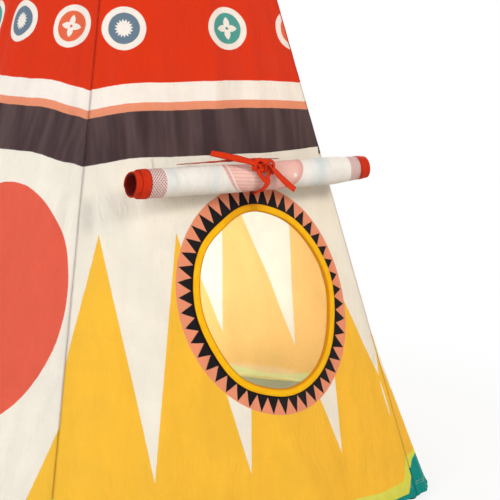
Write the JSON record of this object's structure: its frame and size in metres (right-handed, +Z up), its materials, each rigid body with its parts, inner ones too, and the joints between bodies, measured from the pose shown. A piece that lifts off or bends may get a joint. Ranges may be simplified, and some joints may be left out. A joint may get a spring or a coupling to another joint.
{
  "type": "kids teepee",
  "caption": "Kids teepee: wooden poles crossed and lashed at the top, printed canvas cover, oval bound window with its flap rolled up and tied, door slit with two flaps.",
  "frame": {"origin": "on the floor, under the middle of the whole tent's bounding box", "axes": "+Z up along the tent's height; -Y points out of the window side, +X to its right as seen from outside"},
  "size_m": [0.883, 0.8996, 1.6131],
  "materials": {
    "printed_canvas": "woven cotton canvas with a printed pattern",
    "red_tape": "woven cotton tape",
    "yellow_tape": "woven cotton tape",
    "pine": "sanded, clear",
    "steel": "thin tube, brushed",
    "rubber": "moulded, matt",
    "webbing": "woven cotton webbing",
    "elastic": "braided elastic band",
    "cotton_cord": "twisted cotton cord"
  },
  "bodies": {
    "cover": {"crossing_lashing": "cotton_cord", "window_side": "printed_canvas", "right_side": "printed_canvas", "rear_side": "printed_canvas", "door_side": "printed_canvas", "left_side": "printed_canvas", "top_casing": "red_tape", "window_binding": "yellow_tape", "door_tie_right": "red_tape", "door_tie_left": "red_tape"},
    "pole_1": {"pole_1_lower": "pine", "pole_1_upper": "pine", "pole_1_ferrule": "steel", "foot_1": "rubber", "pole_strap_1": "webbing", "hem_loop_1": "elastic"},
    "pole_2": {"pole_2_lower": "pine", "pole_2_upper": "pine", "pole_2_ferrule": "steel", "foot_2": "rubber", "pole_strap_2": "webbing", "hem_loop_2": "elastic"},
    "pole_3": {"pole_3_lower": "pine", "pole_3_upper": "pine", "pole_3_ferrule": "steel", "foot_3": "rubber", "pole_strap_3": "webbing", "hem_loop_3": "elastic"},
    "pole_4": {"pole_4_lower": "pine", "pole_4_upper": "pine", "pole_4_ferrule": "steel", "foot_4": "rubber", "pole_strap_4": "webbing", "hem_loop_4": "elastic"},
    "pole_5": {"pole_5_lower": "pine", "pole_5_upper": "pine", "pole_5_ferrule": "steel", "foot_5": "rubber", "pole_strap_5": "webbing", "hem_loop_5": "elastic"},
    "window_flap": {"window_flap_roll": "printed_canvas", "flap_ribbon": "red_tape"},
    "door_right": {"door_flap_right": "printed_canvas"},
    "door_left": {"door_flap_left": "printed_canvas"}
  },
  "joints": [
    {"name": "fold_1", "type": "hinge", "parent": "cover", "child": "pole_1", "pos_m": [0.01476, -0.0011, 1.25675], "axis": [0.809, 0.5878, 0], "range_deg": [0, 16], "deforming": ["window_flap_roll", "flap_ribbon", "door_flap_right", "door_flap_left"]},
    {"name": "fold_2", "type": "hinge", "parent": "cover", "child": "pole_2", "pos_m": [-0.00564, 0.00553, 1.25675], "axis": [-0.309, 0.9511, 0], "range_deg": [0, 16]},
    {"name": "fold_3", "type": "hinge", "parent": "cover", "child": "pole_3", "pos_m": [-0.01824, -0.01182, 1.25675], "axis": [-1, 0, 0], "range_deg": [0, 16]},
    {"name": "fold_4", "type": "hinge", "parent": "cover", "child": "pole_4", "pos_m": [-0.00564, -0.02917, 1.25675], "axis": [-0.309, -0.9511, 0], "range_deg": [0, 16]},
    {"name": "fold_5", "type": "hinge", "parent": "cover", "child": "pole_5", "pos_m": [0.01476, -0.02254, 1.25675], "axis": [0.809, -0.5878, 0], "range_deg": [0, 16]},
    {"name": "window_flap_lift", "type": "hinge", "parent": "pole_1", "child": "window_flap", "pos_m": [0.02894, -0.28987, 0.49345], "axis": [-0.9968, -0.0799, 0], "range_deg": [0, 50]},
    {"name": "door_right_open", "type": "hinge", "parent": "pole_4", "child": "door_right", "pos_m": [-0.0897, 0.11164, 0.8], "axis": [0.3474, -0.0684, 0.9352], "range_deg": [0, 140]},
    {"name": "door_left_open", "type": "hinge", "parent": "pole_3", "child": "door_left", "pos_m": [-0.0897, 0.11164, 0.8], "axis": [0.0423, 0.3515, -0.9352], "range_deg": [0, 140]}
  ],
  "couplings": [
    {"joint": "fold_2", "follows": "fold_1", "ratio": 1},
    {"joint": "fold_3", "follows": "fold_1", "ratio": 1},
    {"joint": "fold_4", "follows": "fold_1", "ratio": 1},
    {"joint": "fold_5", "follows": "fold_1", "ratio": 1}
  ]
}
